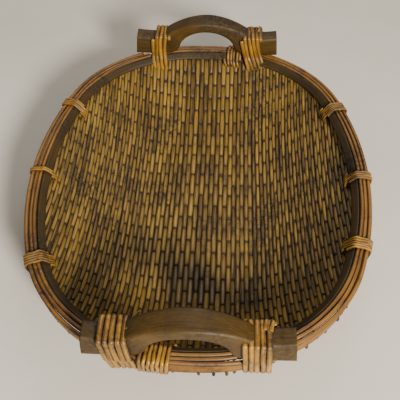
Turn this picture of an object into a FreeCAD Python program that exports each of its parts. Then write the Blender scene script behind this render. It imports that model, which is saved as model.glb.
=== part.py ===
import FreeCAD, Part

import math
import os

import Sketcher

# An oval winnowing basket. The origin is under the middle of its flat bottom, +Z is up, +Y runs
# along its length to the rear handle, and every size is in millimetres.

doc = FreeCAD.newDocument("winnowing_basket")
sheet = doc.addObject("Spreadsheet::Sheet", "Sheet")

# name, value, what it means
DIMENSIONS = [
    ("half_width", 230, "outer rim, half of its width along X"),
    ("half_length", 296, "outer rim, half of its length along Y"),
    ("corner_radius", 200, "rim outline, radius of the four corner arcs"),
    ("end_radius", 420, "rim outline, radius of the bow at each end"),
    ("side_radius", 510, "rim outline, radius of the bow at each side"),
    ("wall_inset", 8, "rim outline to the outer face of the wall's top edge"),
    ("wall_top", 87, "top edge of the woven wall above the ground"),
    ("floor_inset", 150, "rim outline to the edge of the flat floor"),
    ("wall_curve", 1.5, "power of the wall's curve: 1 would be a straight slope"),
    ("weave_height", 8, "height of the weave, measured straight up"),
    ("clearance", 0.4, "gap between neighbouring pieces"),
    ("outer_hoop_inset", 3.2, "rim outline to the outer hoop's outer face"),
    ("outer_hoop_thickness", 4.2, "outer hoop strip, thickness"),
    ("outer_hoop_width", 16, "outer hoop strip, height"),
    ("outer_hoop_base", 69, "lower edge of the outer hoop above the ground"),
    ("inner_hoop_inset", 16.8, "rim outline to the inner hoop's top edge"),
    ("inner_hoop_run", 8, "inner hoop strip, its width seen from above"),
    ("inner_hoop_height", 5, "inner hoop strip, its thickness measured straight up"),
    ("outer_rod_radius", 2.7, "outermost rim rod, radius"),
    ("middle_rod_radius", 2.5, "middle rim rod, radius"),
    ("inner_rod_radius", 2.4, "innermost rim rod, radius"),
    ("outer_rod_inset", 2.9, "rim outline to the middle of the outermost rod"),
    ("middle_rod_inset", 8.5, "rim outline to the middle of the middle rod"),
    ("inner_rod_inset", 13.8, "rim outline to the middle of the innermost rod"),
    ("rod_joint", 76, "distance from the centre line to the joints between the rods"),
    ("rod_joint_gap", 0.6, "half of the gap between the rod ends at a joint"),
    ("handle_offset", 277.4, "handle's middle line from the basket's centre"),
    ("handle_length", 226.6, "handle, end to end"),
    ("handle_width", 25.6, "handle, front to back"),
    ("handle_base", 95, "underside of the handle's end blocks above the ground"),
    ("block_top", 126, "top of the handle's end blocks above the ground"),
    ("grip_half", 60, "half of the finger gap's width"),
    ("grip_rise", 42, "rise of the finger gap's arch over the blocks' underside"),
    ("arch_half", 67, "half of the width of the raised arch"),
    ("arch_rise", 28, "rise of the arch over the end blocks"),
    ("handle_round", 4, "rounding of the handle's long edges"),
    ("lashing_offset", 76, "middle of most handle lashings from the handle's middle"),
    ("near_lashing_offset", 72, "the same for the front left lashing, tied further in"),
    ("cane_radius", 2.6, "thick cane of the handle lashings, radius"),
    ("cane_pitch", 6.0, "spacing of neighbouring turns of cane"),
    ("twine_radius", 1.6, "thin cane of the rim's bindings, radius"),
    ("twine_pitch", 3.6, "spacing of neighbouring turns of the thin cane"),
    ("rod_crown", 92.8, "top of the rim rods above the ground"),
    ("binding_low", 65.6, "thick cane passing under the outer hoop, height"),
    ("twine_low", 66.8, "thin cane passing under the outer hoop, height"),
    ("lashing_mouth_height", 76, "height of the thick cane where it enters the weave inside"),
    ("binding_mouth", 29.5, "rim outline to the point where the thin cane enters the weave"),
    ("binding_mouth_height", 79, "height of the thin cane where it enters the weave inside"),
]
for row, (alias, value, meaning) in enumerate(DIMENSIONS, start=1):
    sheet.set("A%d" % row, str(value))
    sheet.setAlias("A%d" % row, alias)
    sheet.set("B%d" % row, meaning)
doc.recompute()


def size(alias):
    """The value of a sheet cell, for shapes that are worked out in code."""
    return float(getattr(sheet, alias))


def origin_feature(body, role):
    """One of a body's own origin planes or axes."""
    for feature in body.Origin.OriginFeatures:
        if feature.Role == role:
            return feature
    raise ValueError(role)


def new_body(name):
    body = doc.addObject("PartDesign::Body", name)
    body.Label = name
    body.AllowCompound = True
    return body


def plane_sketch(body, name, role, lift=None):
    """A sketch on one of the body's origin planes, lifted off it by an expression."""
    sketch = body.newObject("Sketcher::SketchObject", name)
    sketch.AttachmentSupport = [(origin_feature(body, role), "")]
    sketch.MapMode = "FlatFace"
    if lift:
        sketch.setExpression("AttachmentOffset.Base.z", lift)
    return sketch


def bind(sketch, constraint, expression):
    """Adds a dimension to a sketch and ties it to the sheet."""
    index = sketch.addConstraint(constraint)
    sketch.setExpression("Constraints[%d]" % index, expression)


# ---------------------------------------------------------------- the rim outline

# Centres of the side, end and corner arcs in the first quadrant. All insets share these centres.
side_centre = size("half_width") - size("side_radius")
end_centre = size("half_length") - size("end_radius")
side_reach = size("side_radius") - size("corner_radius")
end_reach = size("end_radius") - size("corner_radius")
span = math.hypot(side_centre, end_centre)
along = (side_reach ** 2 - end_reach ** 2 + span ** 2) / (2 * span)
across = math.sqrt(side_reach ** 2 - along ** 2)
axis_x = -side_centre / span
axis_y = end_centre / span
corner_x = side_centre + along * axis_x - across * axis_y
corner_y = along * axis_y + across * axis_x
side_angle = math.atan2(corner_y, corner_x - side_centre)
end_angle = math.atan2(corner_y - end_centre, corner_x)

# Each arc of the outline, counter-clockwise: centre, radius cell, first and last angle.
RIGHT_ANGLE = math.pi / 2
OUTLINE = [
    (side_centre, 0, "side_radius", -side_angle, side_angle),
    (corner_x, corner_y, "corner_radius", side_angle, end_angle),
    (0, end_centre, "end_radius", end_angle, math.pi - end_angle),
    (-corner_x, corner_y, "corner_radius", math.pi - end_angle, math.pi - side_angle),
    (-side_centre, 0, "side_radius", math.pi - side_angle, math.pi + side_angle),
    (-corner_x, -corner_y, "corner_radius", math.pi + side_angle, math.pi + end_angle),
    (0, -end_centre, "end_radius", math.pi + end_angle, 2 * math.pi - end_angle),
    (corner_x, -corner_y, "corner_radius", 2 * math.pi - end_angle, 2 * math.pi - side_angle),
]
UP = FreeCAD.Vector(0, 0, 1)


def outline_arc(arc, inset, height=0.0):
    """One arc of the outline, moved in by the inset, as a curve."""
    centre_x, centre_y, radius, first, last = arc
    centre = FreeCAD.Vector(centre_x, centre_y, height)
    return Part.ArcOfCircle(Part.Circle(centre, UP, size(radius) - inset), first, last)


def add_outline(sketch, inset, inset_expression):
    """Draws the closed outline of eight tangent arcs in a sketch, moved in by an inset."""
    base = sketch.GeometryCount
    count = len(OUTLINE)
    for arc in OUTLINE:
        sketch.addGeometry(outline_arc(arc, inset), False)
    for number in range(count):
        following = (number + 1) % count
        joint = Sketcher.Constraint("Tangent", base + number, 2, base + following, 1)
        sketch.addConstraint(joint)
    for number, arc in enumerate(OUTLINE):
        radius = Sketcher.Constraint("Radius", base + number, size(arc[2]) - inset)
        bind(sketch, radius, "Sheet.%s - (%s)" % (arc[2], inset_expression))
    for number, sign in ((0, -1), (4, 1)):
        sketch.addConstraint(Sketcher.Constraint("PointOnObject", base + number, 3, -1))
        place = Sketcher.Constraint("DistanceX", -1, 1, base + number, 3, -sign * side_centre)
        bind(sketch, place, "%d * (Sheet.side_radius - Sheet.half_width)" % sign)
    for number, sign in ((2, -1), (6, 1)):
        sketch.addConstraint(Sketcher.Constraint("PointOnObject", base + number, 3, -2))
        place = Sketcher.Constraint("DistanceY", -1, 1, base + number, 3, -sign * end_centre)
        bind(sketch, place, "%d * (Sheet.end_radius - Sheet.half_length)" % sign)


# ---------------------------------------------------------------- the woven bowl

WALL_STEPS = 6
WALL_INSET = "Sheet.wall_inset + %.4f * (Sheet.floor_inset - Sheet.wall_inset)"
WALL_HEIGHT = "Sheet.wall_top * (%.4f ^ Sheet.wall_curve)"


def wall_inset(step):
    reach = size("floor_inset") - size("wall_inset")
    return size("wall_inset") + reach * step / WALL_STEPS


def wall_sections(body, prefix, steps, lift):
    """Outlines of the wall's face at each step from the floor up, all raised by a lift."""
    sections = []
    for step in steps:
        fraction = step / WALL_STEPS
        height = WALL_HEIGHT % max(1 - fraction, 0.0) + " + %s" % lift
        name = "%s_%d" % (prefix, len(sections))
        sketch = plane_sketch(body, name, "XY_Plane", height)
        add_outline(sketch, wall_inset(step), WALL_INSET % fraction)
        sections.append(sketch)
    return sections


def add_loft(body, name, kind, sections, ruled):
    loft = body.newObject("PartDesign::" + kind, name)
    loft.Profile = sections[0]
    loft.Sections = sections[1:]
    loft.Ruled = ruled
    body.Tip = loft
    return loft


# A closed shell: the outer face swept up from the flat floor, then the same face raised by the
# weave's height and taken away.
bowl = new_body("woven_bowl")
floor_up = list(range(WALL_STEPS, -1, -1))
outer_sections = wall_sections(bowl, "outer_face", floor_up, "0")
add_loft(bowl, "outer_form", "AdditiveLoft", outer_sections, False)
inner_sections = wall_sections(bowl, "inner_face", floor_up, "Sheet.weave_height")
add_loft(bowl, "hollow", "SubtractiveLoft", inner_sections, False)


# ---------------------------------------------------------------- the two rim hoops

# The outer hoop is a flat strip standing outside the wall, just under the rods.
outer_hoop = new_body("outer_rim_hoop")
strip = plane_sketch(outer_hoop, "outer_strip", "XY_Plane", "Sheet.outer_hoop_base")
add_outline(strip, size("outer_hoop_inset"), "Sheet.outer_hoop_inset")
far_face = size("outer_hoop_inset") + size("outer_hoop_thickness")
add_outline(strip, far_face, "Sheet.outer_hoop_inset + Sheet.outer_hoop_thickness")
pad = outer_hoop.newObject("PartDesign::Pad", "outer_strip_pad")
pad.Profile = strip
pad.setExpression("Length", "Sheet.outer_hoop_width")
outer_hoop.Tip = pad

# The inner hoop is a flat strip lying on the sloping inside of the wall.
inner_hoop = new_body("inner_rim_hoop")
SURFACE = (
    "Sheet.wall_top * ((1 - (%s - Sheet.wall_inset) / (Sheet.floor_inset - Sheet.wall_inset))"
    " ^ Sheet.wall_curve) + Sheet.weave_height + Sheet.clearance"
)
TOP_EDGE = "Sheet.inner_hoop_inset"
LOW_EDGE = "(Sheet.inner_hoop_inset + Sheet.inner_hoop_run)"
THICKER = " + Sheet.inner_hoop_height"
edge_insets = {TOP_EDGE: size("inner_hoop_inset")}
edge_insets[LOW_EDGE] = size("inner_hoop_inset") + size("inner_hoop_run")
HOOP_FORMS = [
    ("AdditiveLoft", "hoop_under", [(LOW_EDGE, ""), (TOP_EDGE, ""), (TOP_EDGE, THICKER)]),
    ("SubtractiveLoft", "hoop_over", [(LOW_EDGE, ""), (LOW_EDGE, THICKER), (TOP_EDGE, THICKER)]),
]
for kind, prefix, corners in HOOP_FORMS:
    edges = []
    for number, (edge, extra) in enumerate(corners):
        sketch_name = "%s_%d" % (prefix, number)
        edge_sketch = plane_sketch(inner_hoop, sketch_name, "XY_Plane", SURFACE % edge + extra)
        add_outline(edge_sketch, edge_insets[edge], edge)
        edges.append(edge_sketch)
    add_loft(inner_hoop, prefix + "_form", kind, edges, True)


# ---------------------------------------------------------------- the rim rods

ROD_LAYERS = ("inner", "middle", "outer")


def end_point_angle(inset, distance):
    """Angle on the corner arc at which the outline is a given distance from the centre line."""
    return math.acos((distance - corner_x) / (size("corner_radius") - inset))


def side_path(inset, height, distance):
    """The outline's right side, from the front joint round to the rear joint."""
    reach = end_point_angle(inset, distance)
    front = (corner_x, -corner_y, "corner_radius", -reach, -side_angle)
    rear = (corner_x, corner_y, "corner_radius", side_angle, reach)
    return [outline_arc(arc, inset, height).toShape() for arc in (front, OUTLINE[0], rear)]


def end_path(inset, height, distance):
    """The outline's rear end, between the two joints."""
    reach = end_point_angle(inset, distance)
    right = (corner_x, corner_y, "corner_radius", reach, end_angle)
    left = (-corner_x, corner_y, "corner_radius", math.pi - end_angle, math.pi - reach)
    return [outline_arc(arc, inset, height).toShape() for arc in (right, OUTLINE[2], left)]


def swept_rod(name, edges, radius, half_turn):
    """A round rod along a run of arcs, turned half round the basket for the opposite side."""
    path = Part.Wire(edges)
    start = edges[0].valueAt(edges[0].FirstParameter)
    heading = edges[0].tangentAt(edges[0].FirstParameter)
    section = Part.Wire([Part.Circle(start, heading, radius).toShape()])
    rod = doc.addObject("Part::Feature", name)
    rod.Shape = path.makePipeShell([section], True, False)
    rod.Label = name
    angle = 180 if half_turn else 0
    rod.Placement = FreeCAD.Placement(FreeCAD.Vector(), FreeCAD.Rotation(UP, angle))
    return rod


for layer in ROD_LAYERS:
    inset = size(layer + "_rod_inset")
    radius = size(layer + "_rod_radius")
    height = size("rod_crown") - radius
    side = side_path(inset, height, size("rod_joint") + size("rod_joint_gap"))
    swept_rod("right_%s_rod" % layer, side, radius, False)
    swept_rod("left_%s_rod" % layer, side, radius, True)
    end = end_path(inset, height, size("rod_joint") - size("rod_joint_gap"))
    swept_rod("rear_%s_rod" % layer, end, radius, False)
    swept_rod("front_%s_rod" % layer, end, radius, True)


# ---------------------------------------------------------------- the two handles

BLOCK_END = "Sheet.handle_length / 2"


def arch_radius(half, rise):
    return (half ** 2 + rise ** 2) / (2 * rise)


def arch_arc(half, base, rise):
    """The arc over an opening, given half of its width, the height of its feet and its rise."""
    left = FreeCAD.Vector(-half, base, 0)
    crown = FreeCAD.Vector(0, base + rise, 0)
    right = FreeCAD.Vector(half, base, 0)
    return Part.Arc(left, crown, right)


def pin_point(sketch, geometry, end, x_value, x_expression, y_value, y_expression):
    """Fixes one end of a line by its distances from the sketch's origin."""
    across = Sketcher.Constraint("DistanceX", -1, 1, geometry, end, x_value)
    bind(sketch, across, x_expression)
    upright = Sketcher.Constraint("DistanceY", -1, 1, geometry, end, y_value)
    bind(sketch, upright, y_expression)


def build_handle(name, sign):
    """A bar with a raised grip in the middle and a square block at each end."""
    body = new_body(name)
    sketch = plane_sketch(body, name + "_side", "XZ_Plane")
    end = size("handle_length") / 2
    base = size("handle_base")
    top = size("block_top")
    grip = size("grip_half")
    arch = size("arch_half")
    corners = [
        (-end, "-" + BLOCK_END, base, "Sheet.handle_base"),
        (-grip, "-Sheet.grip_half", base, "Sheet.handle_base"),
        (grip, "Sheet.grip_half", base, "Sheet.handle_base"),
        (end, BLOCK_END, base, "Sheet.handle_base"),
        (end, BLOCK_END, top, "Sheet.block_top"),
        (arch, "Sheet.arch_half", top, "Sheet.block_top"),
        (-arch, "-Sheet.arch_half", top, "Sheet.block_top"),
        (-end, "-" + BLOCK_END, top, "Sheet.block_top"),
    ]
    arches = {
        1: (grip, base, size("grip_rise"), "Sheet.grip_half", "Sheet.grip_rise"),
        5: (arch, top, size("arch_rise"), "Sheet.arch_half", "Sheet.arch_rise"),
    }
    count = len(corners)
    for number, corner in enumerate(corners):
        following = corners[(number + 1) % count]
        if number in arches:
            half, foot, rise = arches[number][:3]
            sketch.addGeometry(arch_arc(half, foot, rise), False)
        else:
            start = FreeCAD.Vector(corner[0], corner[2], 0)
            finish = FreeCAD.Vector(following[0], following[2], 0)
            sketch.addGeometry(Part.LineSegment(start, finish), False)
    # An arc is stored counter-clockwise, so the lower one starts at its right foot.
    for number in range(count):
        following = (number + 1) % count
        leaving = 1 if number == 1 else 2
        entering = 2 if following == 1 else 1
        joint = Sketcher.Constraint("Coincident", number, leaving, following, entering)
        sketch.addConstraint(joint)
    for number, corner in enumerate(corners):
        if number not in arches:
            pin_point(sketch, number, 1, *corner)
    for number, (half, foot, rise, half_cell, rise_cell) in arches.items():
        width = Sketcher.Constraint("Radius", number, arch_radius(half, rise))
        formula = "(%s ^ 2 + %s ^ 2) / (2 * %s)" % (half_cell, rise_cell, rise_cell)
        bind(sketch, width, formula)
    pad = body.newObject("PartDesign::Pad", name + "_pad")
    pad.Profile = sketch
    pad.Midplane = True
    pad.setExpression("Length", "Sheet.handle_width")
    body.Tip = pad
    doc.recompute()
    long_edges = []
    for number, edge in enumerate(pad.Shape.Edges, start=1):
        middle = edge.CenterOfMass
        if abs(abs(middle.y) - size("handle_width") / 2) < size("clearance"):
            long_edges.append("Edge%d" % number)
    rounding = body.newObject("PartDesign::Fillet", name + "_rounding")
    rounding.Base = (pad, long_edges)
    rounding.setExpression("Radius", "Sheet.handle_round")
    body.Tip = rounding
    body.setExpression("Placement.Base.y", "%d * Sheet.handle_offset" % sign)
    return body


build_handle("front_handle", -1)
build_handle("rear_handle", 1)


# ---------------------------------------------------------------- lashings and bindings

# Each turn of cane is a staple: it starts inside the wall, crosses over the top and ends under
# the outer hoop. Points are (inward distance, height), as expressions of the sheet.
SNUG = "(Sheet.twine_radius + Sheet.clearance)"
ROD_EDGE = "(Sheet.outer_rod_inset - Sheet.outer_rod_radius)"
BINDING_PATH = [
    ("Sheet.binding_mouth", "Sheet.binding_mouth_height"),
    ("Sheet.binding_mouth", "Sheet.binding_mouth_height + 3 * Sheet.twine_radius"),
    ("Sheet.inner_hoop_inset + Sheet.twine_radius", "Sheet.rod_crown + Sheet.twine_radius"),
    ("Sheet.inner_rod_inset", "Sheet.rod_crown + " + SNUG),
    ("Sheet.outer_rod_inset", "Sheet.rod_crown + " + SNUG),
    (ROD_EDGE + " - " + SNUG, "Sheet.rod_crown - Sheet.outer_rod_radius"),
    (ROD_EDGE + " - " + SNUG, "Sheet.outer_hoop_base"),
    ("Sheet.outer_hoop_inset", "Sheet.twine_low"),
    ("Sheet.outer_hoop_inset + 3 * Sheet.outer_hoop_thickness", "Sheet.twine_low"),
]

# Over a handle the cane climbs the inner face of the block and comes down its outer face. The
# heights here are the same, and the distances are taken from the handle's middle line.
FACE = "(Sheet.handle_width / 2 + Sheet.cane_radius + Sheet.clearance)"
CANE_OVER = "Sheet.block_top + Sheet.cane_radius + Sheet.clearance"
LASHING_PATH = [
    (FACE + " + 5 * Sheet.cane_radius", "Sheet.lashing_mouth_height"),
    (FACE + " + 5 * Sheet.cane_radius", "Sheet.lashing_mouth_height + 3 * Sheet.cane_radius"),
    (FACE, "Sheet.handle_base + Sheet.cane_radius"),
    (FACE, "Sheet.block_top"),
    (FACE + " - Sheet.cane_radius", CANE_OVER),
    ("-(" + FACE + " - Sheet.cane_radius)", CANE_OVER),
    ("-" + FACE, "Sheet.block_top"),
    ("-" + FACE, "Sheet.handle_base"),
    ("-" + FACE + " + 3 * Sheet.cane_radius", "Sheet.binding_low"),
    ("-" + FACE + " + 8 * Sheet.cane_radius", "Sheet.binding_low"),
]


def cane_wrap(name, points, turns, stock):
    """A row of staples along the body's Y axis, bent from one stock: cane or twine."""
    body = new_body(name)
    path = plane_sketch(body, name + "_path", "XZ_Plane")
    lines = len(points) - 1
    for number in range(lines):
        start = FreeCAD.Vector(number, number, 0)
        finish = FreeCAD.Vector(number + 1, number + 1, 0)
        path.addGeometry(Part.LineSegment(start, finish), False)
        if number:
            path.addConstraint(Sketcher.Constraint("Coincident", number - 1, 2, number, 1))
    for number, (inward, upward) in enumerate(points):
        line = min(number, lines - 1)
        end = 1 if number < lines else 2
        pin_point(path, line, end, float(number), "-(%s)" % inward, float(number), upward)
    section = plane_sketch(body, name + "_section", "XY_Plane", points[0][1])
    section.addGeometry(Part.Circle(FreeCAD.Vector(), UP, size(stock + "_radius")), False)
    thickness = Sketcher.Constraint("Radius", 0, size(stock + "_radius"))
    bind(section, thickness, "Sheet.%s_radius" % stock)
    bind(section, Sketcher.Constraint("DistanceX", -1, 1, 0, 3, 1.0), "-(%s)" % points[0][0])
    section.addConstraint(Sketcher.Constraint("PointOnObject", 0, 3, -1))
    doc.recompute()
    pipe = body.newObject("PartDesign::AdditivePipe", name + "_turn")
    pipe.Profile = section
    pipe.Spine = (path, ["Edge%d" % (number + 1) for number in range(lines)])
    pipe.Transition = "Right corner"
    row = body.newObject("PartDesign::LinearPattern", name + "_row")
    row.Originals = [pipe]
    row.Direction = (origin_feature(body, "Y_Axis"), [""])
    row.Occurrences = turns
    row.setExpression("Length", "%d * Sheet.%s_pitch" % (turns - 1, stock))
    body.Tip = row
    return body


def stand_wrap(body, turns, place, turned, stock):
    """Puts a wrap at a place, turned so that its X axis points out of the basket."""
    half_row = (turns - 1) * size(stock + "_pitch") / 2
    rotation = FreeCAD.Rotation(UP, turned)
    shift = rotation.multVec(FreeCAD.Vector(0, -half_row, 0))
    body.Placement = FreeCAD.Placement(place + shift, rotation)


# name, number of turns, offset cell, side along X, end along Y
LASHINGS = [
    ("front_left_lashing", 5, "near_lashing_offset", -1, -1),
    ("front_right_lashing", 5, "lashing_offset", 1, -1),
    ("rear_left_lashing", 4, "lashing_offset", -1, 1),
    ("rear_right_lashing", 5, "lashing_offset", 1, 1),
]
for name, turns, offset, side, end in LASHINGS:
    lashing = cane_wrap(name, LASHING_PATH, turns, "cane")
    place = FreeCAD.Vector(side * size(offset), end * size("handle_offset"), 0)
    stand_wrap(lashing, turns, place, end * 90, "cane")


def rim_place(across, lengthwise):
    """A point on the rim outline and the way out of the basket there, in degrees. One of the
    two given distances is only a sign: it says which side or which end is meant."""
    if abs(across) > 1:
        direction = math.acos((abs(across) - corner_x) / size("corner_radius"))
    elif abs(lengthwise) < corner_y + size("corner_radius") * math.sin(side_angle):
        direction = None
    else:
        direction = math.asin((abs(lengthwise) - corner_y) / size("corner_radius"))
    if direction is None:
        radius = size("side_radius")
        height = lengthwise
        out_x = math.sqrt(radius ** 2 - height ** 2) / radius
        out_y = height / radius
        point_x = side_centre + radius * out_x
        point_y = height
    else:
        out_x = math.cos(direction)
        out_y = math.copysign(math.sin(direction), lengthwise)
        point_x = corner_x + size("corner_radius") * out_x
        point_y = math.copysign(corner_y, lengthwise) + size("corner_radius") * out_y
    out_x = math.copysign(out_x, across)
    point_x = math.copysign(point_x, across)
    return FreeCAD.Vector(point_x, point_y, 0), math.degrees(math.atan2(out_y, out_x))


# name, number of turns, place along X, place along Y; a bare sign stands for the side or end
BINDINGS = [
    ("left_rear_binding", 4, -1, 138),
    ("left_middle_binding", 2, -1, -10),
    ("left_front_binding", 5, -1, -165),
    ("right_rear_binding", 5, 1, 143),
    ("right_middle_binding", 4, 1, -4),
    ("right_front_binding", 5, 1, -125),
    ("front_rod_binding", 6, -36, -1),
    ("rear_rod_binding", 5, 47, 1),
]
for name, turns, across, lengthwise in BINDINGS:
    place, direction = rim_place(across, lengthwise)
    binding = cane_wrap(name, BINDING_PATH, turns, "twine")
    stand_wrap(binding, turns, place, direction, "twine")


# ---------------------------------------------------------------- checks and files

doc.recompute()
os.makedirs("parts", exist_ok=True)
nodes = []
for item in doc.Objects:
    if "Invalid" in item.State or "Error" in item.State:
        raise RuntimeError("%s did not build: %s" % (item.Name, item.State))
    is_body = item.TypeId == "PartDesign::Body"
    if is_body or item.TypeId == "Part::Feature":
        nodes.append(item)
for node in nodes:
    if node.Shape.isNull() or not node.Shape.isValid():
        raise RuntimeError("%s has a broken shape" % node.Label)
    if not node.Shape.Solids:
        raise RuntimeError("%s holds no solid" % node.Label)
    node.Shape.exportStep("parts/%s.step" % node.Label)
    bounds = node.Shape.optimalBoundingBox(False)
    print(node.Label, len(node.Shape.Solids), round(node.Shape.Volume), bounds)
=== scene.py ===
import math

import bpy
import numpy as np
from mathutils import Matrix, Vector


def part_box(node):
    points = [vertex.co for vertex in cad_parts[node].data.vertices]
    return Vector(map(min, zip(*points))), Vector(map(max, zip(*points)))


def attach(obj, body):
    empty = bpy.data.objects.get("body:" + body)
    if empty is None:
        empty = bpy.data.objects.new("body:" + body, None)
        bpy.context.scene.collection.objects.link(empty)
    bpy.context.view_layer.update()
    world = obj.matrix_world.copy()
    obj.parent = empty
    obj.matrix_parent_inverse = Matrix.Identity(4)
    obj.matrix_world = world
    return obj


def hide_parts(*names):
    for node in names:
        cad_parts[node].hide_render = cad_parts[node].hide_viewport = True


# An oval winnowing basket: peeled willow rods held by hemp cord, a rim of three rods between two
# flat hoops, and two arched grips lashed on with cane. Lengths in the code below are millimetres
# unless a name says otherwise; MM turns them into the frame's metres.

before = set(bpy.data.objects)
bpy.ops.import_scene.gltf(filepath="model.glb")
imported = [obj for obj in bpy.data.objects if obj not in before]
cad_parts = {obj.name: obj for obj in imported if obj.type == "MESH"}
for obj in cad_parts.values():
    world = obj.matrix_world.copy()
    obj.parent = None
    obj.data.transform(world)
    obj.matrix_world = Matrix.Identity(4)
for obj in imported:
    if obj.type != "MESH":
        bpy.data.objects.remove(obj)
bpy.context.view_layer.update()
MM = 0.001
rng = np.random.default_rng(7)


def node_box(node):
    """Low and high corner of a CAD node, in millimetres."""
    low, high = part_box(node)
    return np.array(low) / MM, np.array(high) / MM


# ------------------------------------------------------------------ the basket's outline

_, rim_high = node_box("right_outer_rod")
_, end_high = node_box("rear_outer_rod")
ROD_TO_OUTLINE = 0.2
HALF_WIDTH = rim_high[0] + ROD_TO_OUTLINE
HALF_LENGTH = end_high[1] + ROD_TO_OUTLINE
CORNER_RADIUS = 200.0
END_RADIUS = 420.0
SIDE_RADIUS = 510.0
SIDE_CENTRE = np.array([HALF_WIDTH - SIDE_RADIUS, 0.0])
END_CENTRE = np.array([0.0, HALF_LENGTH - END_RADIUS])

# The wall rises from a flat floor to its top edge along a power curve of its distance inside
# the rim outline, called the inset.
_, bowl_high = node_box("woven_bowl")
WALL_INSET = HALF_WIDTH - bowl_high[0]
WALL_TOP = bowl_high[2]
FLOOR_INSET = 150.0
WALL_POWER = 1.5
WEAVE_HEIGHT = 8.0


def corner_centre():
    """Where the corner arc must be centred to run smoothly into the side and end arcs."""
    side_reach = SIDE_RADIUS - CORNER_RADIUS
    end_reach = END_RADIUS - CORNER_RADIUS
    apart = END_CENTRE - SIDE_CENTRE
    span = np.linalg.norm(apart)
    along = (side_reach ** 2 - end_reach ** 2 + span ** 2) / (2 * span)
    across = math.sqrt(side_reach ** 2 - along ** 2)
    ahead = apart / span
    return SIDE_CENTRE + along * ahead + across * np.array([-ahead[1], ahead[0]])


CORNER_CENTRE = corner_centre()
SIDE_ANGLE = math.atan2(CORNER_CENTRE[1], CORNER_CENTRE[0] - SIDE_CENTRE[0])
END_ANGLE = math.atan2(CORNER_CENTRE[1] - END_CENTRE[1], CORNER_CENTRE[0])


def inset_at(x, y):
    """Distance from points of the plane inwards from the rim outline."""
    x = np.abs(x)
    y = np.abs(y)
    to_side = np.arctan2(y, x - SIDE_CENTRE[0])
    to_end = np.arctan2(y - END_CENTRE[1], x)
    side = SIDE_RADIUS - np.hypot(x - SIDE_CENTRE[0], y)
    end = END_RADIUS - np.hypot(x, y - END_CENTRE[1])
    corner = CORNER_RADIUS - np.hypot(x - CORNER_CENTRE[0], y - CORNER_CENTRE[1])
    inset = np.where(to_side < SIDE_ANGLE, side, np.where(to_end > END_ANGLE, end, corner))
    deep = (x < CORNER_CENTRE[0]) & (y < CORNER_CENTRE[1])
    return np.where(deep, np.minimum(side, end), inset)


# The curve is followed a little past the wall's top edge, and slopes are taken over short steps.
HIGHEST_RISE = 1.2
SLOPE_STEP = 1.5


def surface(x, y):
    """Height of the middle of the weave over points of the plane."""
    rise = 1 - (inset_at(x, y) - WALL_INSET) / (FLOOR_INSET - WALL_INSET)
    return WALL_TOP * np.clip(rise, 0, HIGHEST_RISE) ** WALL_POWER + WEAVE_HEIGHT / 2


def surface_normal(x, y):
    """Unit upward normals of the middle of the weave."""
    step = SLOPE_STEP
    slope_x = (surface(x + step, y) - surface(x - step, y)) / (2 * step)
    slope_y = (surface(x, y + step) - surface(x, y - step)) / (2 * step)
    normal = np.stack([-slope_x, -slope_y, np.ones_like(slope_x)], axis=-1)
    return normal / np.linalg.norm(normal, axis=-1, keepdims=True)


def rim_point(direction, inset):
    """Point of the outline whose outward normal has a given direction, and that normal."""
    out = np.array([math.cos(direction), math.sin(direction)])
    lean = abs(math.atan2(out[1], abs(out[0])))
    flip = np.sign(out) + (out == 0)
    if lean < SIDE_ANGLE:
        centre, radius = SIDE_CENTRE, SIDE_RADIUS
    elif lean > END_ANGLE:
        centre, radius = END_CENTRE, END_RADIUS
    else:
        centre, radius = CORNER_CENTRE, CORNER_RADIUS
    return centre * flip + out * (radius - inset), out


def direction_at_x(x, end):
    """Direction of the rim's normal where the rim passes a given X at the front or rear end."""
    if abs(x) < END_RADIUS * math.cos(END_ANGLE):
        lean = math.acos(abs(x) / END_RADIUS)
    else:
        lean = math.acos((abs(x) - CORNER_CENTRE[0]) / CORNER_RADIUS)
    if x < 0:
        lean = math.pi - lean
    return lean * end


def direction_at_y(y, side):
    """Direction of the rim's normal where the rim passes a given Y on the left or right side."""
    if abs(y) < SIDE_RADIUS * math.sin(SIDE_ANGLE):
        lean = math.asin(abs(y) / SIDE_RADIUS)
    else:
        lean = math.asin((abs(y) - CORNER_CENTRE[1]) / CORNER_RADIUS)
    lean = math.copysign(lean, y)
    return lean if side > 0 else math.pi - lean


# ------------------------------------------------------------------ materials

SCREEN_FULL = 255
SCREEN_GAMMA = 2.2


def linear(red, green, blue):
    """A screen colour, each part from 0 to 255, as the shader wants it."""
    return [(part / SCREEN_FULL) ** SCREEN_GAMMA for part in (red, green, blue)] + [1.0]


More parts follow.
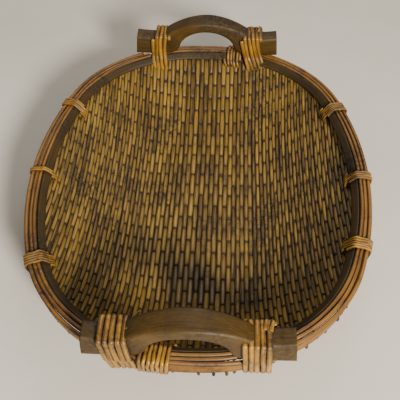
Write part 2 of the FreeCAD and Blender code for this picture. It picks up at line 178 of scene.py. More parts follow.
class Material:
    """A material's node tree, with short ways to add and join nodes."""

    def __init__(self, name):
        self.material = bpy.data.materials.new(name)
        self.material.use_nodes = True
        self.tree = self.material.node_tree
        self.shader = self.tree.nodes["Principled BSDF"]

    def node(self, kind, **settings):
        made = self.tree.nodes.new("ShaderNode" + kind)
        for key, value in settings.items():
            setattr(made, key, value)
        return made

    def join(self, source, target):
        self.tree.links.new(source, target)

    def attribute(self, name):
        return self.node("Attribute", attribute_name=name)

    def stretched(self, source, scale):
        """A vector multiplied part by part."""
        mapping = self.node("Mapping")
        self.join(source, mapping.inputs["Vector"])
        mapping.inputs["Scale"].default_value = scale
        return mapping.outputs["Vector"]

    def noise(self, vector, scale, detail=3.0, rough=0.55):
        noise = self.node("TexNoise")
        self.join(vector, noise.inputs["Vector"])
        noise.inputs["Scale"].default_value = scale
        noise.inputs["Detail"].default_value = detail
        noise.inputs["Roughness"].default_value = rough
        return noise.outputs["Fac"]

    def ramp(self, source, low, high, first=0.0, last=1.0):
        """A number mapped from one range to another and clamped."""
        remap = self.node("MapRange")
        self.join(source, remap.inputs["Value"])
        remap.inputs["From Min"].default_value = low
        remap.inputs["From Max"].default_value = high
        remap.inputs["To Min"].default_value = first
        remap.inputs["To Max"].default_value = last
        return remap.outputs["Result"]

    def math(self, operation, first, second):
        node = self.node("Math", operation=operation)
        for number, value in enumerate((first, second)):
            if isinstance(value, (int, float)):
                node.inputs[number].default_value = value
            else:
                self.join(value, node.inputs[number])
        return node.outputs["Value"]

    def mix(self, factor, first, second, blend="MIX"):
        node = self.node("Mix", data_type="RGBA", blend_type=blend)
        for socket, value in ((0, factor), (6, first), (7, second)):
            if isinstance(value, (int, float, list)):
                node.inputs[socket].default_value = value
            else:
                self.join(value, node.inputs[socket])
        return node.outputs[2]

    def finish(self, colour, roughness, height, depth, distance=0.0006):
        """Joins the colour, the roughness and a bump to the shader."""
        self.join(colour, self.shader.inputs["Base Color"])
        self.join(roughness, self.shader.inputs["Roughness"])
        bump = self.node("Bump")
        bump.inputs["Strength"].default_value = depth
        bump.inputs["Distance"].default_value = distance
        self.join(height, bump.inputs["Height"])
        self.join(bump.outputs["Normal"], self.shader.inputs["Normal"])
        return self.material


# Streaks and mottles are fine across the grain and drawn out along it. Patches of wear are some
# 60 mm across, and flecks some 5 mm.
STREAK_GRAIN = (22, 700, 700)
MOTTLE_GRAIN = (90, 220, 220)
PATCH_SCALE = 16.0
FLECK_SCALE = 210.0
TONE_SHARE = 0.7
PINCH_SHADE_AND_DIRT = 0.95
STREAK_ROUGHNESS = 0.16
DIRT_AND_SHADE_ROUGHNESS = 0.5
FLECK_RELIEF = 0.5
WOOD_RELIEF = 0.55


def wood_material(name, pale, deep, grime_and_shade, stain, grime_range, rough, gloss):
    """Peeled rod, cane or split wood. The mesh says how its grain runs, each length's tone and
    where painted shade and dirt darken it, at pinches and along its sides; patches of grime and stain
    follow the basket itself."""
    made = Material(name)
    grain = made.attribute("grain").outputs["Vector"]
    tone = made.attribute("tone").outputs["Fac"]
    painted_shade_and_dirt = made.attribute("painted_shade_and_dirt").outputs["Fac"]
    place = made.node("TexCoord").outputs["Object"]
    streak = made.noise(made.stretched(grain, STREAK_GRAIN), 1.0, 5.0, 0.6)
    mottle = made.noise(made.stretched(grain, MOTTLE_GRAIN), 1.0, 3.0)
    patch = made.noise(place, PATCH_SCALE, 4.0, 0.6)
    fleck = made.noise(place, FLECK_SCALE, 3.0, 0.7)
    streak_shade = made.ramp(streak, 0.32, 0.68, -0.2, 0.42)
    shade = made.math("ADD", made.math("MULTIPLY", tone, TONE_SHARE), streak_shade)
    colour = made.mix(shade, deep, pale)
    mottled = made.ramp(mottle, 0.45, 0.75)
    stained = made.math("MULTIPLY", mottled, made.ramp(patch, 0.42, 0.66))
    colour = made.mix(stained, colour, stain)
    dirt_and_shade = made.math("MULTIPLY", made.ramp(fleck, 0.35, 0.62), made.ramp(patch, *grime_range))
    # Painted shade and dirt given per point of the mesh are added to the patches of grime, in the same
    # dark colour.
    dirt_and_shade = made.math("ADD", dirt_and_shade, made.math("MULTIPLY", painted_shade_and_dirt, PINCH_SHADE_AND_DIRT))
    dirt_and_shade = made.ramp(dirt_and_shade, 0.0, 1.0)
    colour = made.mix(dirt_and_shade, colour, grime_and_shade)
    streak_rough = made.ramp(streak, 0.3, 0.7, rough, rough + STREAK_ROUGHNESS)
    roughness = made.math("ADD", streak_rough, made.math("MULTIPLY", dirt_and_shade, DIRT_AND_SHADE_ROUGHNESS))
    made.shader.inputs["Specular IOR Level"].default_value = gloss
    height = made.math("ADD", streak, made.math("MULTIPLY", fleck, FLECK_RELIEF))
    return made.finish(colour, roughness, height, WOOD_RELIEF)


def cord_material():
    """Twisted hemp gone dark with age."""
    made = Material("hemp_cord")
    grain = made.attribute("grain").outputs["Vector"]
    twist = made.node("TexWave", bands_direction="DIAGONAL")
    made.join(made.stretched(grain, (900, 500, 500)), twist.inputs["Vector"])
    twist.inputs["Scale"].default_value = 1.0
    place = made.node("TexCoord").outputs["Object"]
    patch = made.noise(place, 30.0, 3.0)
    colour = made.mix(made.ramp(patch, 0.35, 0.7), linear(48, 34, 20), linear(92, 70, 42))
    colour = made.mix(made.ramp(twist.outputs["Fac"], 0.2, 0.9, 0.0, 0.4), colour, linear(30, 21, 13))
    roughness = made.ramp(patch, 0.3, 0.7, 0.8, 0.95)
    return made.finish(colour, roughness, twist.outputs["Fac"], 0.5)


# name, pale and deep wood, grime and painted shade, stain, where patches of grime set in, roughness,
# gloss
WEAVE_LOOK = wood_material(
    "peeled_willow", linear(174, 136, 54), linear(48, 29, 8), linear(22, 9, 3),
    linear(52, 42, 15), (0.5, 0.82), 0.24, 0.6,
)
ROD_LOOK = wood_material(
    "rim_willow", linear(158, 110, 36), linear(74, 42, 10), linear(20, 12, 4),
    linear(92, 50, 14), (0.44, 0.74), 0.28, 0.6,
)
CANE_LOOK = wood_material(
    "lashing_cane", linear(188, 136, 42), linear(70, 43, 8), linear(20, 12, 3),
    linear(84, 58, 16), (0.44, 0.74), 0.22, 0.6,
)
INNER_HOOP_LOOK = wood_material(
    "weathered_hoop", linear(78, 59, 26), linear(38, 28, 11), linear(16, 11, 5),
    linear(56, 49, 26), (0.4, 0.7), 0.45, 0.4,
)
OUTER_HOOP_LOOK = wood_material(
    "split_wood_hoop", linear(152, 103, 34), linear(78, 48, 13), linear(24, 15, 5),
    linear(78, 61, 29), (0.42, 0.72), 0.4, 0.45,
)
GRIP_LOOK = wood_material(
    "worn_grip_wood", linear(90, 66, 22), linear(44, 32, 11), linear(21, 15, 6),
    linear(60, 52, 28), (0.42, 0.72), 0.38, 0.4,
)
CORD_LOOK = cord_material()


# ------------------------------------------------------------------ tubes

# Every tube takes its grain from a stretch of its own. Painted shade along a tube's two sides fades out
# towards its top and its underside.
GRAIN_STRETCH = 4000
GROOVE_TOP = 0.95
GROOVE_FADE = 0.6


class Skin:
    """Collects tubes of any section and turns them into one smooth mesh."""

    def __init__(self):
        self.points = []
        self.grain = []
        self.tone = []
        self.painted_shade_and_dirt = []
        self.quads = []
        self.caps = []
        self.count = 0

    def tube(self, path, wide, tall, upward, sides=8, tone=0.5, painted_shade_and_dirt=0.0, square=2.0, groove_shade=0.0):
        """Adds a tube along a path. wide and tall are half sizes of its section, upward is the
        direction of tall, square is 2 for an ellipse and more for a boxier section, and the last
        argument is how much painted shade lies along its two sides, where neighbours would shade it."""
        path = np.asarray(path, float)
        count = len(path)
        upward = np.broadcast_to(np.asarray(upward, float), path.shape)
        ahead = np.gradient(path, axis=0)
        ahead /= np.linalg.norm(ahead, axis=1, keepdims=True)
        side = np.cross(ahead, upward)
        side /= np.linalg.norm(side, axis=1, keepdims=True)
        lift = np.cross(side, ahead)
        angle = 2 * math.pi * np.arange(sides) / sides + math.pi / sides
        ring_x = np.sign(np.cos(angle)) * np.abs(np.cos(angle)) ** (2 / square)
        ring_y = np.sign(np.sin(angle)) * np.abs(np.sin(angle)) ** (2 / square)
        wide = np.broadcast_to(wide, count)[:, None]
        tall = np.broadcast_to(tall, count)[:, None]
        across = wide * ring_x
        height = tall * ring_y
        sideways = across[..., None] * side[:, None, :]
        upwards = height[..., None] * lift[:, None, :]
        ring = path[:, None, :] + sideways + upwards
        steps = np.linalg.norm(np.diff(path, axis=0), axis=1)
        along = np.concatenate([[0.0], np.cumsum(steps)]) + rng.uniform(0, GRAIN_STRETCH)
        along = np.broadcast_to(along[:, None], across.shape)
        self.points.append(ring.reshape(-1, 3))
        self.grain.append(np.stack([along, across, height], axis=-1).reshape(-1, 3) * MM)
        self.tone.append(np.repeat(np.broadcast_to(tone, count), sides))
        # Painted shade darkens the tube's two sides; the stronger of it and the given per-point darkening
        # is kept.
        flank_shade = groove_shade * np.clip((GROOVE_TOP - np.abs(ring_y)) / GROOVE_FADE, 0, 1)
        held = np.maximum(np.broadcast_to(painted_shade_and_dirt, count)[:, None], flank_shade)
        self.painted_shade_and_dirt.append(held.ravel())
        row = np.arange(count - 1)[:, None] * sides + self.count
        column = np.arange(sides)[None, :]
        after = (column + 1) % sides
        quads = np.stack([row + column, row + after, row + sides + after, row + sides + column], axis=-1)
        self.quads.append(quads.reshape(-1, 4))
        self.caps.append([self.count + number for number in reversed(range(sides))])
        self.caps.append([self.count + (count - 1) * sides + number for number in range(sides)])
        self.count += count * sides

    def build(self, name, material, node=None):
        """Makes the object, fixes it to the basket and gives it its finish."""
        faces = np.concatenate(self.quads).tolist() + self.caps
        mesh = bpy.data.meshes.new(name)
        mesh.from_pydata((np.concatenate(self.points) * MM).tolist(), [], faces)
        mesh.polygons.foreach_set("use_smooth", [True] * len(faces))
        layers = (
            ("grain", "FLOAT_VECTOR", "vector", np.concatenate(self.grain)),
            ("tone", "FLOAT", "value", np.concatenate(self.tone)),
            ("painted_shade_and_dirt", "FLOAT", "value", np.concatenate(self.painted_shade_and_dirt)),
        )
        for layer, kind, field, values in layers:
            attribute = mesh.attributes.new(layer, kind, "POINT")
            attribute.data.foreach_set(field, values.ravel().astype(np.float32))
        mesh.materials.append(material)
        piece = bpy.data.objects.new(name, mesh)
        bpy.context.scene.collection.objects.link(piece)
        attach(piece, "root")
        if node:
            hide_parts(node)
        return piece


def wander(count, smooth, amount):
    """A gentle random drift along a length, with one knot to every few points."""
    steps = max(3, int(count / smooth))
    knots = rng.normal(0, amount, steps)
    return np.interp(np.linspace(0, steps - 1, count), np.arange(steps), knots)


def rounded(points, per_span):
    """A closed smooth loop through points."""
    points = np.asarray(points, float)
    share = (np.arange(per_span) / per_span)[:, None]
    spans = []
    for number in range(len(points)):
        near = [points[(number + shift) % len(points)] for shift in (-1, 0, 1, 2)]
        before, start, finish, beyond = near
        bend = (2 * before - 5 * start + 4 * finish - beyond) * share ** 2
        twist = (3 * start - before - 3 * finish + beyond) * share ** 3
        spans.append(0.5 * (2 * start + (finish - before) * share + bend + twist))
    return np.concatenate(spans)


# ------------------------------------------------------------------ the weave

# The rods lie along the basket, side by side, and the cords cross them. ROD_WIDE and ROD_TALL
# are half sizes of a rod in the middle.
ROD_PITCH = 6.95
ROD_WIDE = 3.75
ROD_TALL = 2.7
CORD_SPACING = 21.9
CORD_SHIFT = 11.8
CORD_SCATTER = 0.5
CORD_RADIUS = 1.0

# A rod waves up over one cord and down under the next, and is plumper where it is up. Where a
# cord passes over it, it is pinched down and in over a short length, darkened there with dirt and painted
# shade.
WAVE = 0.5
PLUMP = 0.05
PINCH_DIP = 0.7
PINCH_LENGTH = 3.2
PINCH_NARROW = 0.12
PINCH_SHADOW = 0.95 * PINCH_LENGTH

# The weave ends under the rim rods, tucked down. A rod's points crowd round its pinches.
WOVEN_EDGE = 9.5
TUCK_REACH = 8.0
TUCK_DROP = 2.6
SAMPLES = np.array([0.0, 0.06, 0.12, 0.2, 0.5, 0.8, 0.88, 0.94])
FINE_STEPS = 4001

# Each rod strays a little, and so do its crossings and its stoutness. Every length between two
# pinches has its own tone, mixed with the tone of the whole rod.
ROD_STRAY = 0.3
CROSSING_STRAY = 0.02
PLUMP_STRAY = 0.03
CORD_STRAY = 0.25
OWN_TONE = 0.6
WHOLE_TONE = 0.4
ROD_SIDES = 10

# The stoutest rods lie in the middle: share of the pitch at distances over the surface.
PITCH_PLACES = [0, 20, 47, 95, 140, 240]
PITCH_SHARES = [1.06, 1.03, 0.92, 0.79, 0.74, 0.72]


def even_places(fine, height, spacing, shift):
    """Places along an axis, a spacing apart over the curved surface, and the spacing at each."""
    length = np.concatenate([[0.0], np.cumsum(np.hypot(np.diff(fine), np.diff(height)))])
    length -= length[-1] / 2
    gap = np.interp(np.abs(length), *spacing)
    number = np.concatenate([[0.0], np.cumsum(np.diff(length) / (0.5 * (gap[1:] + gap[:-1])))])
    number -= np.interp(shift, length, number)
    whole = np.arange(math.ceil(number[0]), math.floor(number[-1]) + 1)
    places = np.interp(whole, number, fine)
    return places, np.interp(places, fine, gap)


def woven_surface(x, y):
    """The middle of the weave, tucked down a little where it ends under the rim rods."""
    tuck = np.clip(1 - (inset_at(x, y) - WOVEN_EDGE) / TUCK_REACH, 0, 1)
    return surface(x, y) - TUCK_DROP * tuck ** 2


axis_x = np.linspace(WOVEN_EDGE - HALF_WIDTH, HALF_WIDTH - WOVEN_EDGE, FINE_STEPS)
rod_spacing = (PITCH_PLACES, ROD_PITCH * np.array(PITCH_SHARES))
rod_places, rod_gaps = even_places(axis_x, surface(axis_x, 0 * axis_x), rod_spacing, 0.0)
axis_y = np.linspace(WOVEN_EDGE - HALF_LENGTH, HALF_LENGTH - WOVEN_EDGE, FINE_STEPS)
cord_spacing = ([0, HALF_LENGTH], [CORD_SPACING, CORD_SPACING])
cord_places, _ = even_places(axis_y, surface(0 * axis_y, axis_y), cord_spacing, CORD_SHIFT)
cord_places = cord_places + rng.normal(0, CORD_SCATTER, len(cord_places))
spare = CORD_SPACING * np.arange(1, 3)
cord_line = np.concatenate([cord_places[0] - spare[::-1], cord_places, cord_places[-1] + spare])
cord_numbers = np.arange(len(cord_line)) - 2


def reach_along(across, limit, swap):
    """How far the weave runs from the middle line, along Y at a given X, or swapped, along X
    at a given Y."""
    fine = np.linspace(0, limit, 1200)
    still = np.full_like(fine, across)
    inset = inset_at(fine, still) if swap else inset_at(still, fine)
    return fine[inset > WOVEN_EDGE].max(initial=0.0)


rods = Skin()
sample_numbers = (np.arange(-2, len(cord_places) + 1)[:, None] + SAMPLES).ravel()
sample_places = np.interp(sample_numbers, cord_numbers, cord_line)
for number, x in enumerate(rod_places):
    reach = reach_along(x, HALF_LENGTH, False)
    if reach < CORD_SPACING:
        continue
    y = sample_places[np.abs(sample_places) < reach - 1.0]
    y = np.concatenate([[-reach], y, [reach]])
    count = len(y)
    x_line = x + wander(count, 40, ROD_STRAY)
    crossing = np.interp(y, cord_line, cord_numbers) + wander(count, 60, CROSSING_STRAY)
    turn = crossing + number
    up = np.cos(math.pi * turn)
    from_pinch = np.abs(turn % 2 - 1) * CORD_SPACING
    pinched = np.exp(-(from_pinch / PINCH_LENGTH) ** 2)
    normal = surface_normal(x_line, y)
    lift = WAVE * up - PINCH_DIP * pinched
    path = np.stack([x_line, y, woven_surface(x_line, y)], axis=1) + normal * lift[:, None]
    stout = rng.uniform(0.95, 1.05) * rod_gaps[number] / ROD_PITCH
    plump = 1 + PLUMP * up - PINCH_NARROW * pinched + wander(count, 12, PLUMP_STRAY)
    length_number = np.floor(turn / 2 + 0.5).astype(int)
    tones = rng.uniform(0.0, 1.0, length_number.max() - length_number.min() + 1)
    tones = OWN_TONE * tones + WHOLE_TONE * rng.uniform(0.0, 1.0)
    tone = tones[length_number - length_number.min()]
    # Dirt and painted shade darken the rod round each pinch, and painted shade runs along its sides.
    shadow = np.exp(-(from_pinch / PINCH_SHADOW) ** 2)
    thick = ROD_TALL * np.sqrt(rod_gaps[number] / ROD_PITCH) * plump
    wide = ROD_WIDE * stout * plump
    rods.tube(path, wide, thick, normal, ROD_SIDES, tone, shadow, groove_shade=1.0)
rods.build("woven_rods", WEAVE_LOOK, "woven_bowl")

# Dark strips lie under the gaps between neighbouring rods: painted shade, in the grime colour.
GAP_SHADE_WIDE = 1.8
GAP_SHADE_TALL = 0.8
GAP_SHADE_SINK = 0.5
gap_shade = Skin()
for x in (rod_places[:-1] + rod_places[1:]) / 2:
    reach = reach_along(x, HALF_LENGTH, False) - 1.0
    if reach < CORD_SPACING:
        continue
    y = np.linspace(-reach, reach, 80)
    x_line = np.full_like(y, x)
    normal = surface_normal(x_line, y)
    path = np.stack([x_line, y, woven_surface(x_line, y)], axis=1) - normal * GAP_SHADE_SINK
    gap_shade.tube(path, GAP_SHADE_WIDE, GAP_SHADE_TALL, normal, 6, 0.0, 1.0)
gap_shade.build("painted_gap_shade", WEAVE_LOOK)

# A cord rises over one rod and dives under the next, from height to height off the weave.
CORD_OVER = 1.5
CORD_UNDER = -2.9
cords = Skin()
for number, y in enumerate(cord_places):
    reach = reach_along(y, HALF_WIDTH, True)
    inside = np.flatnonzero(np.abs(rod_places) < reach)
    if len(inside) < 3:
        continue
    fine = np.linspace(inside[0], inside[-1], 4 * len(inside))
    x = np.interp(fine, np.arange(len(rod_places)), rod_places)
    y_line = y + wander(len(x), 30, CORD_STRAY)
    over = 0.5 - 0.5 * np.cos(math.pi * (fine + number))
    normal = surface_normal(x, y_line)
    lift = CORD_UNDER + (CORD_OVER - CORD_UNDER) * over
    path = np.stack([x, y_line, woven_surface(x, y_line)], axis=1) + normal * lift[:, None]
    cords.tube(path, CORD_RADIUS, CORD_RADIUS, normal, 6)
cords.build("hemp_cords", CORD_LOOK)


# ------------------------------------------------------------------ rim rods and hoops

RIM_STEP = 0.02
FEWEST_POINTS = 8


def rim_run(first, last, inset, height):
    """A run of the rim between two normal directions, at an inset and a height."""
    count = max(FEWEST_POINTS, int(abs(last - first) / RIM_STEP))
    line = []
    outs = []
    for direction in np.linspace(first, last, count):
        point, out = rim_point(direction, inset)
        line.append([point[0], point[1], height])
        outs.append([out[0], out[1], 0.0])
    return np.array(line), np.array(outs)


def section(node, end_part):
    """Middle inset, middle height and half height of a CAD rim piece."""
    low, high = node_box(node)
    reach = high[1] if end_part else high[0]
    full = HALF_LENGTH if end_part else HALF_WIDTH
    half = (high[2] - low[2]) / 2
    return full - reach + half, (low[2] + high[2]) / 2, half


# Side rods stop beside the lashings, and the front rods stop short of the right-hand one.
REAR_STOPS = {"inner": -92, "middle": -98, "outer": -106}
FRONT_STOPS = {"inner": 52, "middle": 56, "outer": 61}
JOINT = 76
ROD_FULLNESS = 1.04
SIDE_STRAY = 0.45
HEIGHT_STRAY = 0.35
STOUT_STRAY = 0.035
TONE_STRAY = 0.16
for layer in ("inner", "middle", "outer"):
    inset, height, radius = section("rear_%s_rod" % layer, True)
    runs = {
        "right": (direction_at_x(JOINT, -1), direction_at_x(JOINT, 1)),
        "left": (direction_at_x(REAR_STOPS[layer], 1), direction_at_x(-JOINT, -1) + 2 * math.pi),
        "rear": (direction_at_x(JOINT, 1), direction_at_x(-JOINT, 1)),
        "front": (direction_at_x(-JOINT, -1), direction_at_x(FRONT_STOPS[layer], -1)),
    }
    for part, (first, last) in runs.items():
        line, outs = rim_run(first, last, inset, height)
        count = len(line)
        line += outs * wander(count, 12, SIDE_STRAY)[:, None]
        line[:, 2] += wander(count, 12, HEIGHT_STRAY)
        fullness = ROD_FULLNESS + wander(count, 10, STOUT_STRAY)
        stout = radius * fullness * rng.uniform(0.96, 1.04)
        tone = np.clip(rng.uniform(0.35, 0.8) + wander(count, 9, TONE_STRAY), 0, 1)
        rod = Skin()
        # Painted shade darkens each rim rod along its sides.
        rod.tube(line, stout, stout, (0, 0, 1), 12, tone, groove_shade=0.7)
        node = "%s_%s_rod" % (part, layer)
        rod.build("peeled_" + node, ROD_LOOK, node)

# Both hoops are flat strips with nearly square edges.
HOOP_SQUARE = 5.0
HOOP_SIDES = 16
outer_low, outer_high = node_box("outer_rim_hoop")
OUTER_THICKNESS = 4.2
OUTER_WIDTH = outer_high[2] - outer_low[2]
line, outs = rim_run(0.0, 2 * math.pi, HALF_WIDTH - outer_high[0] + OUTER_THICKNESS / 2, 0.0)
line[:, 2] = (outer_low[2] + outer_high[2]) / 2 + wander(len(line), 20, 0.4)
hoop = Skin()
hoop_tone = np.clip(0.55 + wander(len(line), 8, 0.2), 0, 1)
half_thick = OUTER_THICKNESS / 2
half_tall = OUTER_WIDTH / 2
hoop.tube(line, half_thick, half_tall, (0, 0, 1), HOOP_SIDES, hoop_tone, 0.0, HOOP_SQUARE)
hoop.build("split_outer_hoop", OUTER_HOOP_LOOK, "outer_rim_hoop")

inner_low, inner_high = node_box("inner_rim_hoop")
INNER_TOP_INSET = HALF_WIDTH - inner_high[0]
INNER_RUN = 8.0
INNER_THICKNESS = 4.0
INNER_UPRIGHT = 5.0
INNER_OVERHANG = 0.4
drop = inner_high[2] - inner_low[2] - INNER_UPRIGHT
lean = math.atan2(drop, INNER_RUN)
line, outs = rim_run(0.0, 2 * math.pi, INNER_TOP_INSET + INNER_RUN / 2, 0.0)
line[:, 2] = (inner_low[2] + inner_high[2]) / 2 + wander(len(line), 20, 0.3)
facing = np.array([0.0, 0.0, math.cos(lean)]) - outs * math.sin(lean)
hoop = Skin()
hoop_tone = np.clip(0.5 + wander(len(line), 8, 0.22), 0, 1)
half_slope = math.hypot(INNER_RUN, drop) / 2 + INNER_OVERHANG
half_thick = INNER_THICKNESS / 2
hoop.tube(line, half_slope, half_thick, facing, HOOP_SIDES, hoop_tone, 0.0, HOOP_SQUARE)
hoop.build("split_inner_hoop", INNER_HOOP_LOOK, "inner_rim_hoop")


# ------------------------------------------------------------------ the grips

GRIP_HALF = 60.0
ARCH_HALF = 69.0
ARCH_RISE = 28.0
GRIP_RISE = 42.0
TIP_FLARE = 3.0
GRIP_SWELL = 3.0
GRIP_SWELL_REACH = 46
GRIP_SQUARE = 6.0
GRIP_SIDES = 24
TOP_EASING = 14
UNDER_EASING = 2


def arch_height(x, half, rise):
    """Rise of a round arch over its feet, and none outside them."""
    radius = (half ** 2 + rise ** 2) / (2 * rise)
    inside = np.clip(radius ** 2 - x ** 2, 0, None)
    return np.clip(np.sqrt(inside) - (radius - rise), 0, None)


def eased(values, times):
    """The same line with its corners softened."""
    for _ in range(times):
        inner = (values[:-2] + 2 * values[1:-1] + values[2:]) / 4
        values = np.concatenate([values[:1], inner, values[-1:]])
    return values


for node in ("front_handle", "rear_handle"):
    low, high = node_box(node)
    x = np.linspace(low[0], high[0], 130)
    block_top = high[2] - ARCH_RISE
    top = block_top + arch_height(x, ARCH_HALF, ARCH_RISE)
    tip = np.clip((np.abs(x) - JOINT) / (high[0] - JOINT), 0, 1)
    top = eased(top, TOP_EASING) + TIP_FLARE * tip ** 2 + wander(len(x), 18, 0.35)
    under = eased(arch_height(x, GRIP_HALF, GRIP_RISE), UNDER_EASING)
    bottom = low[2] + under + wander(len(x), 18, 0.3)
    swell = GRIP_SWELL * np.exp(-(x / GRIP_SWELL_REACH) ** 2)
    depth = (high[1] - low[1]) / 2 + swell + wander(len(x), 16, 0.25)
    middle_y = (low[1] + high[1]) / 2
    path = np.stack([x, np.full_like(x, middle_y), (top + bottom) / 2], axis=1)
    grip = Skin()
    grip_tone = np.clip(0.5 + wander(len(x), 7, 0.15), 0, 1)
    half_tall = (top - bottom) / 2
    grip.tube(path, depth, half_tall, (0, 0, 1), GRIP_SIDES, grip_tone, 0.0, GRIP_SQUARE)
    grip.build("worn_" + node, GRIP_LOOK, node)


# ------------------------------------------------------------------ lashings and bindings

# Half widths of the three thicknesses of cane, how flat it lies and how far apart its turns are.
CANE = 3.25
TWINE = 1.75
STOUT_TWINE = 2.4
CANE_FLATNESS = 0.8
CANE_PITCH = 6.3
TWINE_PITCH = 3.7
STOUT_TWINE_PITCH = 5.0
ROD_CROWN = rim_high[2]
HOOP_FOOT = outer_low[2]

# A turn keeps to its place in the row, then steps over to the next while it is out of sight.
STEP_START = 0.72
STEP_SHARE = 0.26
TURN_POINTS = 7
TAIL_TIP = 0.55
TAIL_LEAN = 0.01


def wrap_cane(node, centre, out, loop, turns, pitch, slant, stock, tails):
    """Winds one cane round and round. The loop's points are (outward, height); the row of turns
    is centred on a place and slants by a distance between its top and its foot. Tails are extra
    lengths of cane, as (along the row, outward, height) points."""
    out = np.array([out[0], out[1], 0.0])
    along = np.array([-out[1], out[0], 0.0])
    ring = rounded(loop, TURN_POINTS)
    middle = (ring[:, 1].max() + ring[:, 1].min()) / 2
    span = (ring[:, 1].max() - ring[:, 1].min()) / 2
    skin = Skin()
    whole = np.concatenate([ring] * turns + [ring[:1]])
    count = len(whole)
    share = np.arange(count) / len(ring)
    settled = np.floor(share) + np.clip((share % 1 - STEP_START) / STEP_SHARE, 0, 1)
    row = (settled - turns / 2) * pitch + wander(count, 7, 0.35)
    row += slant * (whole[:, 1] - middle) / span
    swell = wander(count, 9, 0.25)
    centre = np.array([centre[0], centre[1], 0.0])
    path = centre + out * (whole[:, :1] + swell[:, None]) + along * row[:, None]
    path[:, 2] += whole[:, 1]
    radial = np.cross(np.gradient(path, axis=0), along)
    tone = np.clip(0.6 + wander(count, 9, 0.2), 0, 1)
    # Painted shade darkens the cane along its sides.
    skin.tube(path, stock, stock * CANE_FLATNESS, radial, 12, tone, groove_shade=0.75)
    for tail in tails:
        tail = np.asarray(tail, float)
        fine = np.linspace(0, len(tail) - 1, 8 * len(tail))
        steps = np.arange(len(tail))
        columns = [eased(np.interp(fine, steps, column), 12) for column in tail.T]
        smooth = np.stack(columns, axis=1)
        points = centre + along * smooth[:, :1] + out * smooth[:, 1:2]
        points[:, 2] += smooth[:, 2]
        taper = np.interp(np.arange(len(points)), [0, len(points) - 1], [1.0, TAIL_TIP])
        upward = along + [0, 0, TAIL_LEAN]
        skin.tube(points, stock * 0.95 * taper, stock * 0.85 * taper, upward, 10, 0.6)
    skin.build("wound_" + node, CANE_LOOK, node)


def lashing_loop(node):
    """The way round a grip's block, the rim under it and the weave."""
    low, high = node_box(node)
    block = (high[1] - low[1]) / 2 + CANE
    top = high[2] - ARCH_RISE + CANE
    foot = low[2]
    return [
        (-block, top - 4), (-block + 4, top), (block - 4, top), (block, top - 4), (block + 0.3, foot + 3),
        (block - 3.5, ROD_CROWN - 4), (block - 6.5, HOOP_FOOT + 4), (block - 9, HOOP_FOOT - 3),
        (block - 22, HOOP_FOOT - 3), (-block - 3, HOOP_FOOT + 1), (-block - 5, HOOP_FOOT + 9),
        (-block - 3, ROD_CROWN - 4), (-block, foot + 5),
    ]


# The way round the rim and through the weave, as (outward from the outline, height).
BINDING_LOOP = [
    (-27.0, 86.0), (-18.5, ROD_CROWN + 1.8), (-12.0, ROD_CROWN + 1.9), (-4.0, ROD_CROWN + 1.8),
    (0.8, ROD_CROWN - 0.4), (1.7, ROD_CROWN - 5), (-0.8, HOOP_FOOT + 8), (-2.5, HOOP_FOOT - 0.8),
    (-8.0, HOOP_FOOT - 2.0), (-20.0, HOOP_FOOT + 1.5), (-30.0, 75.0), (-31.0, 81.0),
]

# node, grip, turns, side, end, slant, tails
LASHINGS = [
    ("front_left_lashing", "front_handle", 5, -1, -1, -4.0, [
        [(9, 2, 131.0), (12, -10, 131.5), (16, -17, 132), (19, -20, 133)],
    ]),
    ("front_right_lashing", "front_handle", 5, 1, -1, -2.0, [
        [(3, -4, 130.5), (4, -12, 131.5), (5, -16, 132)],
        [(9, -3, 130.5), (11, -11, 131.5), (12, -15, 132)],
    ]),
    ("rear_left_lashing", "rear_handle", 4, -1, 1, -3.0, []),
    ("rear_right_lashing", "rear_handle", 5, 1, 1, 5.5, [
        [(4, 2, 130.5), (5, 7, 132), (6, 11, 135)],
        [(-7, 3, 130.5), (-8, 8, 132), (-9, 12, 135)],
    ]),
]
for node, grip_node, turns, side, end, slant, tails in LASHINGS:
    low, high = node_box(node)
    grip_low, grip_high = node_box(grip_node)
    centre = ((low[0] + high[0]) / 2, (grip_low[1] + grip_high[1]) / 2)
    loop = lashing_loop(grip_node)
    wrap_cane(node, centre, (0.0, float(end)), loop, turns, CANE_PITCH, slant, CANE, tails)

# node, turns, side, place along Y
SIDE_BINDINGS = [
    ("left_rear_binding", 4, -1, 138),
    ("left_middle_binding", 2, -1, -10),
    ("left_front_binding", 5, -1, -165),
    ("right_rear_binding", 5, 1, 143),
    ("right_middle_binding", 4, 1, -4),
    ("right_front_binding", 5, 1, -125),
]
# node, turns, place along X, end
END_BINDINGS = [
    ("front_rod_binding", 7, -36, -1),
    ("rear_rod_binding", 5, 47, 1),
]
for node, turns, side, y in SIDE_BINDINGS:
    point, out = rim_point(direction_at_y(y, side), 0.0)
    wrap_cane(node, point, out, BINDING_LOOP, turns, TWINE_PITCH, 1.0, TWINE, [])
for node, turns, x, end in END_BINDINGS:
    point, out = rim_point(direction_at_x(x, end), 0.0)
    wrap_cane(node, point, out, BINDING_LOOP, turns, STOUT_TWINE_PITCH, 1.0, STOUT_TWINE, [])


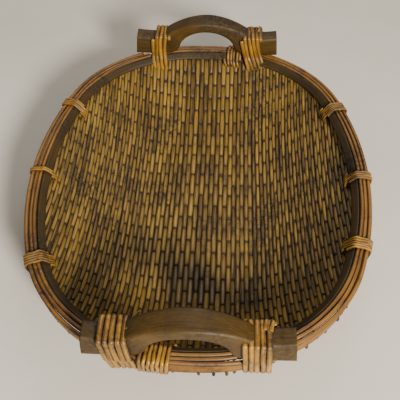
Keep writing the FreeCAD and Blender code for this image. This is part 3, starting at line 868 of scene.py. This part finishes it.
# Trimmed ends of the cords and rods show as dark stubs under the outer hoop.
STUB_SPACING = 0.055
STUB_SCATTER = 0.012
STUB_INSET = 5.5
STUB_START = 4.0
STUB_FORM = np.array([1.0, 1.0, 1.05, 1.0, 0.75])
stubs = Skin()
for direction in np.arange(0.0, 2 * math.pi, STUB_SPACING):
    direction += rng.uniform(-STUB_SCATTER, STUB_SCATTER)
    point, out = rim_point(direction, STUB_INSET + rng.uniform(-1.0, 1.5))
    foot = HOOP_FOOT - rng.uniform(2.0, 5.0)
    start = np.array([point[0], point[1], HOOP_FOOT + STUB_START])
    lean = np.array([out[0], out[1], 0.0]) * rng.uniform(-1.0, 1.6)
    finish = np.array([point[0], point[1], foot]) + lean
    line = start + (finish - start) * np.linspace(0, 1, len(STUB_FORM))[:, None]
    thick = rng.uniform(1.5, 2.6) * STUB_FORM
    stubs.tube(line, thick, thick, (out[0], out[1], 0.0), 8, rng.uniform(0, 0.5), 0.55)
stubs.build("trimmed_ends", ROD_LOOK)


# ------------------------------------------------------------------ floor, light and camera

def floor_material():
    made = Material("pale_floor")
    place = made.node("TexCoord").outputs["Object"]
    cloud = made.noise(place, 3.0, 4.0)
    grit = made.noise(place, 260.0, 2.0)
    colour = made.mix(made.ramp(cloud, 0.3, 0.7), linear(216, 208, 195), linear(228, 221, 208))
    return made.finish(colour, made.ramp(cloud, 0.3, 0.7, 0.85, 0.95), grit, 0.08)


FLOOR_HALF = 4.0
bpy.ops.mesh.primitive_plane_add(size=2 * FLOOR_HALF, location=(0, 0, 0))
floor = bpy.context.object
floor.name = "studio_floor"
floor.data.materials.append(floor_material())

world = bpy.data.worlds.new("studio")
world.use_nodes = True
world.node_tree.nodes["Background"].inputs["Color"].default_value = (1.0, 0.95, 0.87, 1.0)
world.node_tree.nodes["Background"].inputs["Strength"].default_value = 0.3
bpy.context.scene.world = world


def area_light(name, place, target, breadth, power, colour):
    data = bpy.data.lights.new(name, "AREA")
    data.shape = "DISK"
    data.size = breadth
    data.energy = power
    data.color = colour
    light = bpy.data.objects.new(name, data)
    light.location = place
    light.rotation_euler = (Vector(target) - Vector(place)).to_track_quat("-Z", "Y").to_euler()
    bpy.context.scene.collection.objects.link(light)


area_light("window", (0.95, -2.0, 1.25), (0, 0.05, 0.05), 0.5, 122, (1.0, 0.95, 0.86))
area_light("fill", (0.2, 1.2, 1.7), (0, 0, 0.05), 1.2, 9, (1.0, 0.98, 0.95))

# The camera looks down over the front grip from a little right of the middle.
CAMERA_PLACE = Vector((0.0296, -0.6346, 0.7163))
CAMERA_PITCH = math.radians(47.18)
CAMERA_YAW = math.radians(-2.67)
CAMERA_ROLL = math.radians(-0.36)
CAMERA_LENS = 58.6
camera_data = bpy.data.cameras.new("camera")
camera_data.lens = CAMERA_LENS
camera_data.sensor_width = 36.0
camera = bpy.data.objects.new("camera", camera_data)
ahead = Vector((
    math.sin(CAMERA_YAW) * math.cos(CAMERA_PITCH),
    math.cos(CAMERA_YAW) * math.cos(CAMERA_PITCH),
    -math.sin(CAMERA_PITCH),
))
level = Vector((math.cos(CAMERA_YAW), -math.sin(CAMERA_YAW), 0.0))
upright = level.cross(ahead)
right = level * math.cos(CAMERA_ROLL) + upright * math.sin(CAMERA_ROLL)
above = upright * math.cos(CAMERA_ROLL) - level * math.sin(CAMERA_ROLL)
turn = Matrix((right, above, -ahead)).transposed()
camera.matrix_world = Matrix.Translation(CAMERA_PLACE) @ turn.to_4x4()
bpy.context.scene.collection.objects.link(camera)
bpy.context.scene.camera = camera
